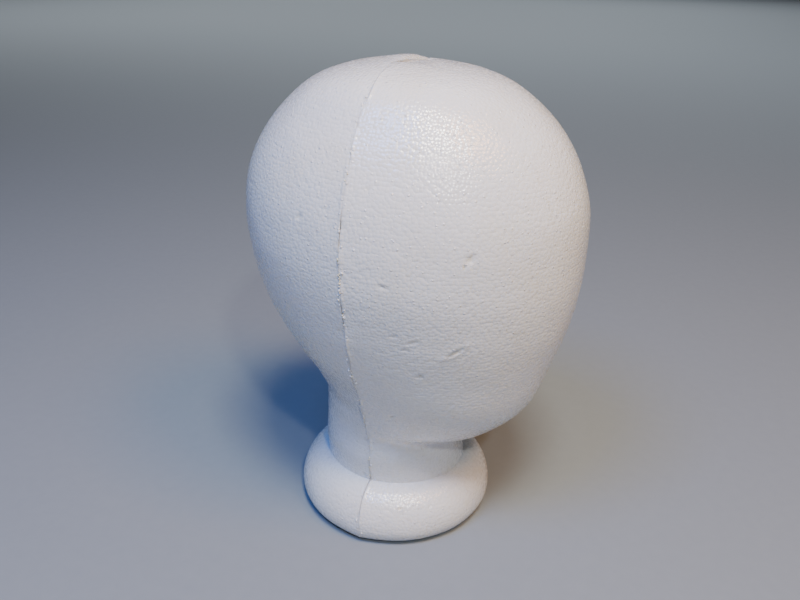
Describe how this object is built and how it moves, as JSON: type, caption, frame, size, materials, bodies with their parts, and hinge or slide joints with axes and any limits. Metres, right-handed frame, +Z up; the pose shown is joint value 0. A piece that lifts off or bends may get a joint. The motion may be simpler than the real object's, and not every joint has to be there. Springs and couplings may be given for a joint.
{
  "type": "wig display head",
  "caption": "Faceless white foam head with a short neck and a round foot, moulded in two halves and glued, to hold a wig or a hat.",
  "frame": {"origin": "on the table, under the middle of the head's bounding box", "axes": "+Z up through the crown, the face end points along -Y, +X is the head's left side"},
  "size_m": [0.1584, 0.186, 0.2635],
  "materials": {
    "foam": "moulded expanded polystyrene, fused bead surface, satin",
    "adhesive": "clear-drying foam adhesive, slightly yellow"
  },
  "bodies": {
    "root": {"front_half": "foam", "back_half": "foam", "glue_line": "adhesive"}
  },
  "joints": []
}
